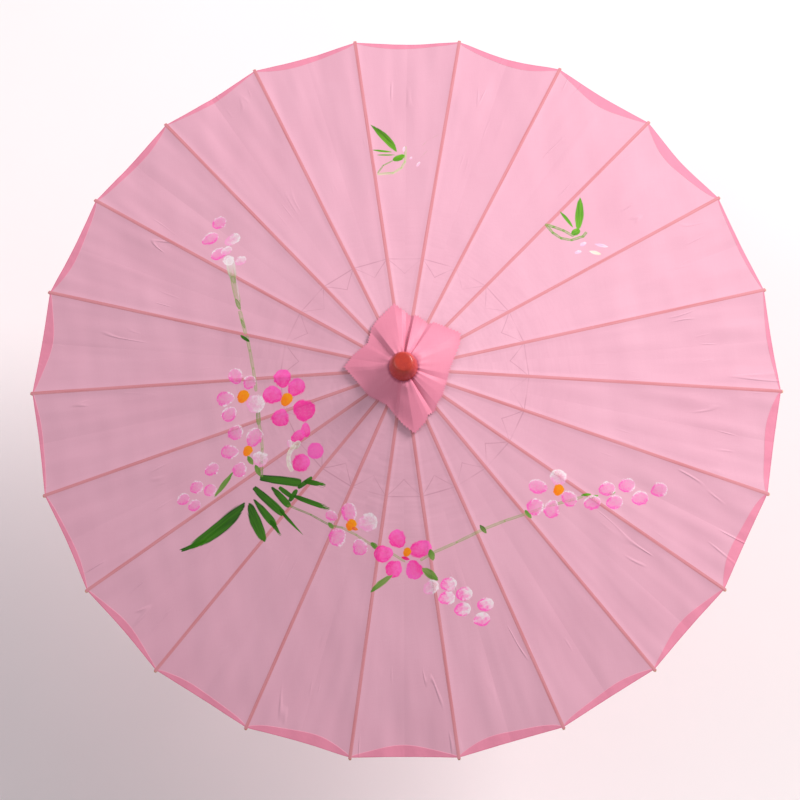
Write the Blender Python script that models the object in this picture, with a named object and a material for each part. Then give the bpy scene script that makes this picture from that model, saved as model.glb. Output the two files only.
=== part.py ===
"""Folding silk parasol on split-bamboo ribs.

Frame: the shaft stands on +Z with the end of the handle at the origin and the canopy open.
A rib is hinged in the top notch and hangs PITCH below the level; a stretcher of the same length
as the rib's inner part joins the rib to the runner, so the runner slides straight along the shaft.
Units are metres.
"""
from math import atan2, cos, hypot, pi, radians, sin

import bmesh
import bpy
from mathutils import Matrix, Vector

MM = 0.001
GAP = 0.3 * MM

# --- canopy frame -------------------------------------------------------------------------
RIB_COUNT = 22
PITCH = radians(13.0)            # slope of an open rib below the level
HINGE_RADIUS = 11.5 * MM         # ring of the rib hinges, and of the stretchers' lower hinges
HINGE_HEIGHT = 485.0 * MM        # height of the rib hinges above the end of the handle
TIP_RADIUS = 410.0 * MM          # from the shaft's axis to a rib's tip, open
FIRST_AZIMUTH = radians(90.0)
STEP = 2 * pi / RIB_COUNT

# --- rib, along its own +X from the hinge, upper face on +Z --------------------------------
RIB_LENGTH = (TIP_RADIUS - HINGE_RADIUS) / cos(PITCH)
RIB_WIDTH = 3.6 * MM
RIB_UNDER = -1.6 * MM
RIB_OVER = 2.0 * MM
TONGUE_WIDTH = 1.5 * MM          # thin head that stands in a slot of the notch
TONGUE_LENGTH = 15.0 * MM
HEAD_RADIUS = 1.8 * MM
PIVOT_REACH = 126.0 * MM         # hinge to the stretcher's pivot, along the rib
PIVOT_DROP = 0.6 * MM            # the pivot lies this far under the rib's middle line
RIB_SLOT_START = 119.0 * MM
RIB_SLOT_END = 175.0 * MM
RIB_SLOT_WIDTH = 2.0 * MM
RIB_SLOT_TOP = 1.3 * MM

# --- stretcher, along its own -X from its pivot on the rib ---------------------------------
STRETCHER_LENGTH = hypot(PIVOT_REACH, PIVOT_DROP)
STRETCHER_HALF_DEPTH = 1.5 * MM
STRETCHER_WIDTH = 2.2 * MM
STRETCHER_TONGUE = 1.4 * MM
STRETCHER_FOLDED_IN = 47.0 * MM  # part of it that lies inside the rib's slot when closed
LINK_ANGLE = PITCH + atan2(PIVOT_DROP, PIVOT_REACH)

# --- thread and wire rings ------------------------------------------------------------------
WIRE_RADIUS = 0.4 * MM
WIRE_HOLE = WIRE_RADIUS + GAP
THREAD_RADIUS = 0.35 * MM
THREAD_HOLE = THREAD_RADIUS + GAP
HOLE_SIDES = 8
PEG_SIDES = 12
PIVOT_RING_RADIUS = HINGE_RADIUS + PIVOT_REACH * cos(PITCH) - PIVOT_DROP * sin(PITCH)
PIVOT_RING_HEIGHT = HINGE_HEIGHT - PIVOT_REACH * sin(PITCH) - PIVOT_DROP * cos(PITCH)
RUNNER_HEIGHT = HINGE_HEIGHT - 2 * STRETCHER_LENGTH * sin(LINK_ANGLE)

# --- turned hubs ----------------------------------------------------------------------------
SHAFT_RADIUS = 6.0 * MM
SHAFT_SIDES = 24
HUB_SIDES = 44
BORE_RADIUS = 6.5 * MM
DRUM_RADIUS = 14.0 * MM
GROOVE_RADIUS = 10.8 * MM
HUB_SLOT_WIDTH = 2.0 * MM
NOTCH_SLOT_FLOOR = 9.4 * MM
RUNNER_SLOT_FLOOR = 9.7 * MM
NOTCH_DRUM_TOP = 2.5 * MM        # heights from the hinge ring
NOTCH_DRUM_FOOT = -12.0 * MM
NOTCH_FOOT = -20.0 * MM
NECK_RADIUS = 8.5 * MM
NECK_TOP = 10.0 * MM
RUNNER_TOP = 8.0 * MM            # heights from the runner's hinge ring
RUNNER_SLOT_LOW = -1.9 * MM
RUNNER_DRUM_FOOT = -5.0 * MM
RUNNER_FOOT = -28.0 * MM

# --- head above the canopy --------------------------------------------------------------------
SHAFT_TOP = HINGE_HEIGHT + 24.0 * MM
FINIAL_FOOT = HINGE_HEIGHT + NECK_TOP + GAP
FINIAL_HEIGHT = 23.5 * MM
FINIAL_RADIUS = 15.0 * MM
NOTCH_PIN_HEIGHT = HINGE_HEIGHT + 6.2 * MM
PIN_RADIUS = 1.1 * MM

# --- cloth ------------------------------------------------------------------------------------
CLOTH_THICKNESS = 0.4 * MM
CLOTH_HOLE_RADIUS = 12.0 * MM
CLOTH_HOLE_HEIGHT = HINGE_HEIGHT + 3.1 * MM
CLOTH_RIM_RADIUS = 405.5 * MM
RUFFLE_HALF_SIDE = 48.0 * MM
RUFFLE_CORNER = 71.0 * MM
RUFFLE_HOLE_RADIUS = 9.2 * MM
RUFFLE_THICKNESS = 2.0 * MM
RUFFLE_SIDES = 40
RUFFLE_TURN = radians(4.0)

# --- shaft and handle -------------------------------------------------------------------------
SOCKET_FLOOR = 12.0 * MM
GRIP_TOP = 112.0 * MM
STOP_PIN_HEIGHT = RUNNER_HEIGHT + RUNNER_TOP + PIN_RADIUS + GAP
LATCH_TOP = RUNNER_HEIGHT + RUNNER_FOOT - GAP
LATCH_LENGTH = 30.0 * MM
LATCH_WIDTH = 2.4 * MM
LATCH_SLOT_WIDTH = 3.0 * MM
LATCH_SLOT_FLOOR = 1.0 * MM
LATCH_HINGE_RADIUS = 3.8 * MM


def clear_scene():
    for thing in list(bpy.data.objects):
        bpy.data.objects.remove(thing, do_unlink=True)


def material(name, colour, roughness, metallic=0.0):
    """A Principled material; colour is linear red, green, blue."""
    made = bpy.data.materials.new(name)
    made.use_nodes = True
    shader = made.node_tree.nodes["Principled BSDF"]
    shader.inputs["Base Color"].default_value = (*colour, 1.0)
    shader.inputs["Roughness"].default_value = roughness
    shader.inputs["Metallic"].default_value = metallic
    made.diffuse_color = (*colour, 1.0)
    return made


def place(name, mesh, finish, parent=None, location=(0, 0, 0), turn=(0, 0, 0)):
    """Put a mesh in the scene as one named sub-part, in its finish."""
    piece = bpy.data.objects.new(name, mesh)
    bpy.context.scene.collection.objects.link(piece)
    if not mesh.materials:
        mesh.materials.append(finish)
    piece.parent = parent
    piece.location = location
    piece.rotation_euler = turn
    return piece


def empty(name, location, turn_z=0.0):
    marker = bpy.data.objects.new(name, None)
    bpy.context.scene.collection.objects.link(marker)
    marker.location = location
    marker.rotation_euler = (0, 0, turn_z)
    return marker


def finished(bm, name, smooth_angle=None):
    """Turn a bmesh into a mesh with outward faces; smooth_angle shades round stretches smooth."""
    bmesh.ops.recalc_face_normals(bm, faces=bm.faces)
    mesh = bpy.data.meshes.new(name)
    bm.to_mesh(mesh)
    bm.free()
    if smooth_angle is not None:
        mesh.shade_smooth()
        mesh.set_sharp_from_angle(angle=smooth_angle)
    return mesh


def turned(name, profile, sides, start=0.0):
    """Turn a closed (radius, height) outline about Z; points on the axis are welded."""
    bm = bmesh.new()
    verts = [bm.verts.new((r * cos(start), r * sin(start), z)) for r, z in profile]
    edges = [bm.edges.new((a, b)) for a, b in zip(verts, verts[1:] + verts[:1])]
    bmesh.ops.spin(bm, geom=verts + edges, cent=(0, 0, 0), axis=(0, 0, 1), angle=2 * pi,
                   steps=sides, use_merge=True)
    bmesh.ops.remove_doubles(bm, verts=bm.verts, dist=1e-6)
    axial = [e for e in bm.edges if all(hypot(v.co.x, v.co.y) < 1e-7 for v in e.verts)]
    bmesh.ops.delete(bm, geom=axial, context="EDGES")
    return finished(bm, name, radians(35))


def solid_of_revolution(name, profile, sides):
    """Turn an open (radius, height) profile, both of whose ends get a flat cap."""
    bm = bmesh.new()
    rings = [[bm.verts.new((r * cos(2 * pi * k / sides), r * sin(2 * pi * k / sides), z))
              for k in range(sides)] for r, z in profile]
    for low, high in zip(rings, rings[1:]):
        for k in range(sides):
            j = (k + 1) % sides
            bm.faces.new((low[k], low[j], high[j], high[k]))
    bm.faces.new(rings[0])
    bm.faces.new(rings[-1])
    return finished(bm, name, radians(35))


def ring(name, radius, wire_radius, sides, wire_sides=5):
    """A closed ring of round wire whose straight runs stay centred on the given radius."""
    outer = radius / cos(pi / sides)
    section = [(outer + wire_radius * cos(2 * pi * k / wire_sides),
                wire_radius * sin(2 * pi * k / wire_sides)) for k in range(wire_sides)]
    return turned(name, section, sides, start=pi / sides + FIRST_AZIMUTH)


def bar(name, stations):
    """Loft a rectangular bar along X through (x, width, lower face, upper face) stations."""
    bm = bmesh.new()
    rings = [[bm.verts.new(p) for p in ((x, -w / 2, lo), (x, w / 2, lo), (x, w / 2, hi), (x, -w / 2, hi))]
             for x, w, lo, hi in stations]
    for near, far in zip(rings, rings[1:]):
        for k in range(4):
            j = (k + 1) % 4
            bm.faces.new((near[k], near[j], far[j], far[k]))
    bm.faces.new(rings[0])
    bm.faces.new(rings[-1])
    return finished(bm, name)


def box(name, low, high):
    bm = bmesh.new()
    bmesh.ops.create_cube(bm, size=1.0)
    size = Vector(high) - Vector(low)
    middle = (Vector(high) + Vector(low)) / 2
    bmesh.ops.transform(bm, verts=bm.verts, matrix=Matrix.Translation(middle) @ Matrix.Diagonal((*size, 1)))
    return finished(bm, name)


def peg(name, axis, centre, radius, length, sides=PEG_SIDES):
    """A round peg, along X or Y, also used to bore holes."""
    bm = bmesh.new()
    bmesh.ops.create_cone(bm, cap_ends=True, segments=sides, radius1=radius, radius2=radius, depth=length)
    turn = Matrix.Rotation(pi / 2, 4, "Y" if axis == "X" else "X")
    bmesh.ops.transform(bm, verts=bm.verts, matrix=Matrix.Translation(centre) @ turn)
    return finished(bm, name, radians(35))


def carved(name, mesh, cutters, smooth_angle=None):
    """Cut each cutter mesh out of a mesh and return the result; the helpers are removed."""
    body = bpy.data.objects.new(name, mesh)
    bpy.context.scene.collection.objects.link(body)
    tools = []
    for cutter in cutters:
        tool = bpy.data.objects.new("cutter", cutter)
        bpy.context.scene.collection.objects.link(tool)
        tool.hide_render = True
        tool.display_type = "WIRE"
        cut = body.modifiers.new("cut", "BOOLEAN")
        cut.operation = "DIFFERENCE"
        cut.solver = "EXACT"
        cut.object = tool
        tools.append(tool)
    evaluated = body.evaluated_get(bpy.context.evaluated_depsgraph_get())
    result = bpy.data.meshes.new_from_object(evaluated)
    for thing in [body, *tools]:
        bpy.data.objects.remove(thing, do_unlink=True)
    result.name = name
    result.materials.clear()
    if smooth_angle is not None:
        result.shade_smooth()
        result.set_sharp_from_angle(angle=smooth_angle)
    return result


def azimuth(k):
    """Ribs are numbered clockwise, seen from above the canopy."""
    return FIRST_AZIMUTH - k * STEP


def slot_cutters(floor_radius, low, high):
    """Radial slots, one for each rib, as one mesh of separate boxes."""
    bm = bmesh.new()
    depth = 2 * DRUM_RADIUS
    for k in range(RIB_COUNT):
        block = bmesh.ops.create_cube(bm, size=1.0)["verts"]
        size = Matrix.Diagonal((depth, HUB_SLOT_WIDTH, high - low, 1))
        shift = Matrix.Translation((floor_radius + depth / 2, 0, (low + high) / 2))
        bmesh.ops.transform(bm, verts=block, matrix=Matrix.Rotation(azimuth(k), 4, "Z") @ shift @ size)
    return finished(bm, "slots")


def rib_mesh():
    """Split-bamboo rib: thin head, long taper, rounded tip, slot that takes the folded stretcher."""
    r = HEAD_RADIUS
    full = RIB_WIDTH
    tip = RIB_LENGTH
    stations = [(-0.97 * r, TONGUE_WIDTH, -0.25 * r, 0.25 * r),
                (-0.70 * r, TONGUE_WIDTH, -0.71 * r, 0.71 * r),
                (-0.20 * r, TONGUE_WIDTH, -0.97 * r, 0.97 * r),
                (3.0 * MM, TONGUE_WIDTH, RIB_UNDER, RIB_OVER),
                (TONGUE_LENGTH, TONGUE_WIDTH, RIB_UNDER, RIB_OVER),
                (TONGUE_LENGTH + 7 * MM, 0.72 * full, RIB_UNDER, RIB_OVER),
                (PIVOT_REACH, full, RIB_UNDER, RIB_OVER),
                (tip - 30 * MM, full, RIB_UNDER, RIB_OVER),
                (tip - 1.6 * MM, 0.9 * full, 0.8 * RIB_UNDER, 0.8 * RIB_OVER),
                (tip, 0.55 * full, 0.3 * RIB_UNDER, 0.4 * RIB_OVER)]
    half_slot = RIB_SLOT_WIDTH / 2
    slot = box("slot", (RIB_SLOT_START, -half_slot, 3 * RIB_UNDER), (RIB_SLOT_END, half_slot, RIB_SLOT_TOP))
    hinge = peg("hinge", "Y", (0, 0, 0), WIRE_HOLE, 2 * full, HOLE_SIDES)
    pivot = peg("pivot", "Y", (PIVOT_REACH, 0, -PIVOT_DROP), THREAD_HOLE, 2 * full, HOLE_SIDES)
    return carved("rib", bar("rib", stations), [slot, hinge, pivot])


def stretcher_mesh():
    """Short rib from its pivot at the origin to the runner's hinge, along -X."""
    d = STRETCHER_HALF_DEPTH
    end = STRETCHER_LENGTH
    thin = STRETCHER_TONGUE
    wide = STRETCHER_WIDTH
    head = [(-0.97 * d, 0.25 * d), (-0.70 * d, 0.71 * d), (-0.20 * d, 0.98 * d)]
    stations = [(x, thin, -z, z) for x, z in head]
    stations += [(STRETCHER_FOLDED_IN, thin, -d, d),
                 (STRETCHER_FOLDED_IN + 10 * MM, wide, -d, d),
                 (end - 22 * MM, wide, -d, d),
                 (end - 13 * MM, thin, -d, d)]
    stations += [(end - x, thin, -z, z) for x, z in reversed(head)]
    stations = [(-x, w, lo, hi) for x, w, lo, hi in stations]
    upper = peg("upper", "Y", (0, 0, 0), THREAD_HOLE, 2 * wide, HOLE_SIDES)
    lower = peg("lower", "Y", (-end, 0, 0), WIRE_HOLE, 2 * wide, HOLE_SIDES)
    return carved("stretcher", bar("stretcher", stations), [upper, lower])


def make_ribs(bamboo):
    """Each rib hangs on an empty on its hinge, and its stretcher hangs on the rib's pivot."""
    rib = rib_mesh()
    stretcher = stretcher_mesh()
    for k in range(RIB_COUNT):
        a = azimuth(k)
        spot = (HINGE_RADIUS * cos(a), HINGE_RADIUS * sin(a), HINGE_HEIGHT)
        hinge = empty(f"rib_hinge_{k + 1:02d}", spot, a)
        upper = place(f"rib_{k + 1:02d}", rib, bamboo, hinge, turn=(0, PITCH, 0))
        place(f"stretcher_{k + 1:02d}", stretcher, bamboo, upper, (PIVOT_REACH, 0, -PIVOT_DROP),
              (0, -(LINK_ANGLE + PITCH), 0))


def make_top_notch(wood):
    """Toothed head: 22 slots for the rib heads, a groove for the hinge wire and a bored neck."""
    groove = WIRE_RADIUS + GAP
    profile = [(BORE_RADIUS, NOTCH_FOOT), (9.0 * MM, NOTCH_FOOT), (9.0 * MM, NOTCH_DRUM_FOOT),
               (DRUM_RADIUS - 1 * MM, NOTCH_DRUM_FOOT), (DRUM_RADIUS, NOTCH_DRUM_FOOT + 1 * MM),
               (DRUM_RADIUS, -groove), (GROOVE_RADIUS, -groove), (GROOVE_RADIUS, groove),
               (DRUM_RADIUS, groove), (DRUM_RADIUS - 1.5 * MM, NOTCH_DRUM_TOP),
               (NECK_RADIUS, NOTCH_DRUM_TOP), (NECK_RADIUS, NECK_TOP), (BORE_RADIUS, NECK_TOP)]
    slots = slot_cutters(NOTCH_SLOT_FLOOR, NOTCH_DRUM_FOOT - 1 * MM, NOTCH_DRUM_TOP + 1 * MM)
    pin_hole = peg("pin_hole", "X", (0, 0, NOTCH_PIN_HEIGHT - HINGE_HEIGHT), PIN_RADIUS + GAP, 4 * NECK_RADIUS)
    mesh = carved("top_notch", turned("notch", profile, HUB_SIDES), [slots, pin_hole], radians(35))
    place("top_notch", mesh, wood, location=(0, 0, HINGE_HEIGHT))


def make_runner(wood):
    """Toothed slider: 22 slots for the stretchers' lower ends, and a waist for the fingers."""
    groove = WIRE_RADIUS + GAP
    waist = 10.5 * MM
    foot = 12.5 * MM
    profile = [(BORE_RADIUS, RUNNER_FOOT), (foot - 1 * MM, RUNNER_FOOT), (foot, RUNNER_FOOT + 1 * MM),
               (foot, RUNNER_FOOT + 4 * MM), (waist, RUNNER_FOOT + 7 * MM),
               (waist, RUNNER_DRUM_FOOT - 4 * MM), (DRUM_RADIUS, RUNNER_DRUM_FOOT),
               (DRUM_RADIUS, -groove), (GROOVE_RADIUS, -groove), (GROOVE_RADIUS, groove),
               (DRUM_RADIUS, groove), (DRUM_RADIUS, RUNNER_TOP - 1 * MM),
               (DRUM_RADIUS - 1 * MM, RUNNER_TOP), (BORE_RADIUS, RUNNER_TOP)]
    slots = slot_cutters(RUNNER_SLOT_FLOOR, RUNNER_SLOT_LOW, RUNNER_TOP + 1 * MM)
    mesh = carved("runner", turned("runner", profile, HUB_SIDES), [slots], radians(35))
    place("runner", mesh, wood, location=(0, 0, RUNNER_HEIGHT))


def make_hinge_rings(steel, thread):
    """The wires that the ribs and stretchers turn on, and the thread through the rib pivots."""
    hub_wire = ring("hub_wire", HINGE_RADIUS, WIRE_RADIUS, 2 * RIB_COUNT)
    place("notch_wire", hub_wire, steel, location=(0, 0, HINGE_HEIGHT))
    place("runner_wire", hub_wire, steel, location=(0, 0, RUNNER_HEIGHT))
    lacing = ring("pivot_thread", PIVOT_RING_RADIUS, THREAD_RADIUS, 2 * RIB_COUNT)
    place("pivot_thread", lacing, thread, location=(0, 0, PIVOT_RING_HEIGHT))


def latch_profile():
    """Side outline of the latch leaf, as (outward, up) from its root; its nose carries the runner."""
    top = LATCH_LENGTH
    return [(-0.8 * MM, -0.8 * MM), (1.4 * MM, -0.8 * MM), (5.3 * MM, top - 1.5 * MM),
            (5.3 * MM, top), (1.2 * MM, top), (-0.8 * MM, 4.0 * MM)]


def make_shaft(wood):
    """Round staff with two cross holes for the pegs and a slot that the latch springs from."""
    foot = SOCKET_FLOOR + GAP
    chamfer = 0.8 * MM
    profile = [(SHAFT_RADIUS - chamfer, foot), (SHAFT_RADIUS, foot + chamfer),
               (SHAFT_RADIUS, SHAFT_TOP - chamfer), (SHAFT_RADIUS - chamfer, SHAFT_TOP)]
    half = LATCH_SLOT_WIDTH / 2
    root = LATCH_TOP - LATCH_LENGTH
    slot = box("latch_slot", (LATCH_SLOT_FLOOR, -half, root - 1.4 * MM),
               (2 * SHAFT_RADIUS, half, LATCH_TOP + 1.2 * MM))
    notch_hole = peg("notch_hole", "X", (0, 0, NOTCH_PIN_HEIGHT), PIN_RADIUS + GAP, 4 * SHAFT_RADIUS)
    stop_hole = peg("stop_hole", "Y", (0, 0, STOP_PIN_HEIGHT), PIN_RADIUS + GAP, 4 * SHAFT_RADIUS)
    staff = solid_of_revolution("shaft", profile, SHAFT_SIDES)
    place("shaft", carved("shaft", staff, [slot, notch_hole, stop_hole], radians(35)), wood)


def make_pegs(bamboo):
    """One peg holds the notch on the shaft; the other stops the runner on its way up."""
    notch_pin = peg("notch_pin", "X", (0, 0, 0), PIN_RADIUS, 2 * NECK_RADIUS - 1 * MM)
    place("notch_pin", notch_pin, bamboo, location=(0, 0, NOTCH_PIN_HEIGHT))
    stop_pin = peg("stop_pin", "Y", (0, 0, 0), PIN_RADIUS, 2 * SHAFT_RADIUS + 5 * MM)
    place("stop_pin", stop_pin, bamboo, location=(0, 0, STOP_PIN_HEIGHT))


def make_latch(steel):
    """Spring leaf whose nose stands out of the shaft just under the open runner."""
    bm = bmesh.new()
    half = LATCH_WIDTH / 2
    face = bm.faces.new([bm.verts.new((x, -half, z)) for x, z in latch_profile()])
    swept = bmesh.ops.extrude_face_region(bm, geom=[face])["geom"]
    moved = [v for v in swept if isinstance(v, bmesh.types.BMVert)]
    bmesh.ops.translate(bm, verts=moved, vec=(0, LATCH_WIDTH, 0))
    place("latch_spring", finished(bm, "latch_spring"), steel,
          location=(LATCH_HINGE_RADIUS, 0, LATCH_TOP - LATCH_LENGTH))


def make_grip(paint):
    """Turned handle: a solid flat end, a gentle swell and a socket for the shaft."""
    profile = [(0.0, 0.0), (8.0 * MM, 0.0), (9.6 * MM, 1.2 * MM), (10.2 * MM, 4.0 * MM),
               (9.2 * MM, 9.0 * MM), (10.4 * MM, 24.0 * MM), (10.8 * MM, 48.0 * MM),
               (10.0 * MM, 76.0 * MM), (8.9 * MM, 98.0 * MM), (9.8 * MM, 104.0 * MM),
               (9.6 * MM, 109.0 * MM), (8.6 * MM, GRIP_TOP), (BORE_RADIUS, GRIP_TOP),
               (BORE_RADIUS, SOCKET_FLOOR), (0.0, SOCKET_FLOOR)]
    place("handle_grip", turned("handle_grip", profile, SHAFT_SIDES), paint)


def make_finial(paint):
    """Turned knob on the top of the shaft, with a flat nose, a chamfer and a blind bore."""
    top = FINIAL_HEIGHT
    bore_top = SHAFT_TOP + GAP - FINIAL_FOOT
    base = FINIAL_RADIUS
    profile = [(0.0, bore_top), (BORE_RADIUS, bore_top), (BORE_RADIUS, 0.0), (base - 1.2 * MM, 0.0),
               (base, 1.2 * MM), (base - 0.3 * MM, 4.0 * MM), (0.87 * base, 9.0 * MM),
               (0.76 * base, 15.0 * MM), (0.70 * base, top - 2.5 * MM), (0.56 * base, top), (0.0, top)]
    place("finial", turned("finial", profile, 32), paint, location=(0, 0, FINIAL_FOOT))


def cloth_height(radius):
    """Height of the cloth's underside along a rib: it clears the ribs by at least the gap."""
    rim_rib = HINGE_HEIGHT - (CLOTH_RIM_RADIUS - HINGE_RADIUS) * sin(PITCH) / cos(PITCH)
    rim = rim_rib + RIB_OVER / cos(PITCH) + GAP
    share = (radius - CLOTH_HOLE_RADIUS) / (CLOTH_RIM_RADIUS - CLOTH_HOLE_RADIUS)
    return CLOTH_HOLE_HEIGHT + share * (rim - CLOTH_HOLE_HEIGHT)


def make_canopy(silk):
    """The cloth as a thin closed shell of 22 flat gores, open round the neck of the notch."""
    rings = []
    for radius, lift in ((CLOTH_HOLE_RADIUS, 0.0), (CLOTH_RIM_RADIUS, 0.0),
                         (CLOTH_RIM_RADIUS, CLOTH_THICKNESS), (CLOTH_HOLE_RADIUS, CLOTH_THICKNESS)):
        height = cloth_height(radius) + lift
        rings.append([(radius * cos(azimuth(k)), radius * sin(azimuth(k)), height) for k in range(RIB_COUNT)])
    place("canopy_cloth", looped_shell("canopy_cloth", rings), silk)


def looped_shell(name, rings):
    """Join rings of equal length, the last back to the first, into one closed body."""
    bm = bmesh.new()
    verts = [[bm.verts.new(p) for p in points] for points in rings]
    count = len(rings[0])
    for near, far in zip(verts, verts[1:] + verts[:1]):
        for k in range(count):
            j = (k + 1) % count
            bm.faces.new((near[k], near[j], far[j], far[k]))
    return finished(bm, name)


def ruffle_radius(angle):
    """Outline of the gathered square of cloth: a square with drawn-out corners."""
    turned_angle = angle - RUFFLE_TURN
    corner = abs(cos(2 * turned_angle)) ** 3
    return RUFFLE_HALF_SIDE + (RUFFLE_CORNER - RUFFLE_HALF_SIDE) * corner


def make_ruffle(silk, thread):
    """A square of cloth gathered under the finial, and the thread that ties it to the neck."""
    lift = CLOTH_THICKNESS + 2 * GAP
    rings = [[], [], [], [], [], []]
    for k in range(RUFFLE_SIDES):
        a = 2 * pi * k / RUFFLE_SIDES
        outer = ruffle_radius(a)
        knee = 2.2 * RUFFLE_HOLE_RADIUS
        outline = [(RUFFLE_HOLE_RADIUS, HINGE_HEIGHT + 5.5 * MM),
                   (knee, cloth_height(knee) + lift),
                   (outer, cloth_height(outer) + lift),
                   (outer, cloth_height(outer) + lift + RUFFLE_THICKNESS),
                   (knee, cloth_height(knee) + lift + 1.5 * RUFFLE_THICKNESS),
                   (RUFFLE_HOLE_RADIUS, HINGE_HEIGHT + 8.2 * MM)]
        for points, (radius, height) in zip(rings, outline):
            points.append((radius * cos(a), radius * sin(a), height))
    place("ruffle", looped_shell("ruffle", rings), silk)
    tie = ring("ruffle_tie", NECK_RADIUS + 3 * GAP, 2 * GAP, HUB_SIDES)
    place("ruffle_tie", tie, thread, location=(0, 0, HINGE_HEIGHT + 9.1 * MM))


def main():
    clear_scene()
    bamboo = material("bamboo", (0.62, 0.44, 0.25), 0.55)
    hub_wood = material("hub_wood", (0.50, 0.32, 0.17), 0.5)
    staff_wood = material("staff_wood", (0.42, 0.22, 0.10), 0.4)
    red_paint = material("red_paint", (0.50, 0.07, 0.04), 0.4)
    canopy_silk = material("canopy_silk", (0.85, 0.42, 0.55), 0.6)
    ruffle_silk = material("ruffle_silk", (0.85, 0.28, 0.46), 0.6)
    thread = material("thread", (0.30, 0.27, 0.28), 0.8)
    steel = material("steel", (0.45, 0.45, 0.46), 0.35, 1.0)
    make_shaft(staff_wood)
    make_grip(red_paint)
    make_pegs(bamboo)
    make_latch(steel)
    make_top_notch(hub_wood)
    make_runner(hub_wood)
    make_hinge_rings(steel, thread)
    make_ribs(bamboo)
    make_canopy(canopy_silk)
    make_ruffle(ruffle_silk, thread)
    make_finial(red_paint)


main()
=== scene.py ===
"""A folding silk parasol with 22 bamboo ribs, open and standing on the foot of its handle.

The CAD model is the frame. The canopy is one sheet in the open pose. Each rib carries a band glued along
it and a flank on each side that reaches to the middle of the gore.
"""

import math

import bpy
import numpy as np
from mathutils import Matrix, Vector


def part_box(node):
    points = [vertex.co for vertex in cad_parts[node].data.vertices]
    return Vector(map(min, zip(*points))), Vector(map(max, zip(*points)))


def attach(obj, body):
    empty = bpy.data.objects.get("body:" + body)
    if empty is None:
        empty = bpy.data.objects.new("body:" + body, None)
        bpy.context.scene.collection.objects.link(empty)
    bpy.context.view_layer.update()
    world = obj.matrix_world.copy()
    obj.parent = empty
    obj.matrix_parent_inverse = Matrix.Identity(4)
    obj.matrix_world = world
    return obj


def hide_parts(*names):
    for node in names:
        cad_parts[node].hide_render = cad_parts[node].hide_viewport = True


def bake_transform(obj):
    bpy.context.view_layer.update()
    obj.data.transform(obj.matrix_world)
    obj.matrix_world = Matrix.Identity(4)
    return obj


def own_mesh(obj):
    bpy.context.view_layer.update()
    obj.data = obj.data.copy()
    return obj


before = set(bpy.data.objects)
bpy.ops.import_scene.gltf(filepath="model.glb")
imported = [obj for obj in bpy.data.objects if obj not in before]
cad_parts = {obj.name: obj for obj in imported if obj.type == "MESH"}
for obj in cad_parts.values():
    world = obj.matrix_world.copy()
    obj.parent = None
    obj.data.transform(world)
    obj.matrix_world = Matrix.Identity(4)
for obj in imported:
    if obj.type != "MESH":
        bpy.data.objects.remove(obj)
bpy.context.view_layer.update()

# ---------------------------------------------------------------- sizes, in metres, as in the CAD model
RIB_COUNT = 22
RIB_STEP = math.tau / RIB_COUNT
FIRST_AZIMUTH = math.pi / 2
PITCH = math.radians(13.0)
HINGE_RADIUS = 0.0115
HINGE_HEIGHT = 0.485
RIB_OVER = 0.0020
BAND_HALF_WIDTH = 0.0018    # a band of silk is as wide as the rib that it is glued on
CLOTH_HOLE_RADIUS = 0.012
CLOTH_RIM_RADIUS = 0.4076
CLOTH_WIDTH = CLOTH_RIM_RADIUS - CLOTH_HOLE_RADIUS
CLOTH_LIFT = 0.00035        # middle of the silk over the rib
HUB_LIFT = 0.0006           # extra height near the hub, where the closed silk passes the notch's drum
HUB_LIFT_RADII = (0.019, 0.030)
WRAP_LENGTH = 0.0017        # the band runs on over the rib's tip by this much
THREAD_RADIUS = 0.134       # ring of thread through the ribs' pivots
ZIGZAG_DEPTH = 0.018
MM = 0.001
# Width of the hem, and how far the rim is drawn in, in millimetres for each gore from rib 1 clockwise.
HEM_WIDTHS = (5, 8, 10, 11, 3.5, 3.5, 10, 11, 9, 8, 11, 10, 11, 7, 6.5, 5, 4, 10, 8, 7, 4.5, 7)
RIM_INSETS = (2.5, 5, 2, 3.5, 1, 1, 0.5, 0.5, 1, 0.5, 0.5, 1, 1.5, 0.5, 1.5, 1.5, 1, 1, 1.5, 1, 2, 2)

HALF_STEP = RIB_STEP / 2
SIDES = {"left": 1, "right": -1}


# ---------------------------------------------------------------- camera and light
def camera_like_the_photograph():
    """A long lens high above the -Y side, tilted a little about its own axis."""
    back_off = Vector((0.0064, 0.0077, -4.902))
    rim_centre = Vector((0.0, 0.0, 0.393))
    to_camera = (
        Matrix.Rotation(math.radians(8.06), 3, "Z")
        @ Matrix.Rotation(math.radians(0.68), 3, "Y")
        @ Matrix.Rotation(math.radians(-15.31), 3, "X")
    )
    data = bpy.data.cameras.new("camera")
    data.sensor_width = 36.0
    data.lens = 202.5
    data.clip_end = 50.0
    camera = bpy.data.objects.new("camera", data)
    bpy.context.scene.collection.objects.link(camera)
    turn = to_camera.transposed()
    camera.matrix_world = Matrix.Translation(rim_centre - turn @ back_off) @ turn.to_4x4()
    bpy.context.scene.camera = camera


def area_light(name, place, target, size, power, colour):
    data = bpy.data.lights.new(name, "AREA")
    data.shape = "DISK"
    data.size = size
    data.energy = power
    data.color = colour
    light = bpy.data.objects.new(name, data)
    bpy.context.scene.collection.objects.link(light)
    light.location = place
    light.rotation_euler = (Vector(target) - Vector(place)).to_track_quat("-Z", "Y").to_euler()


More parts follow.
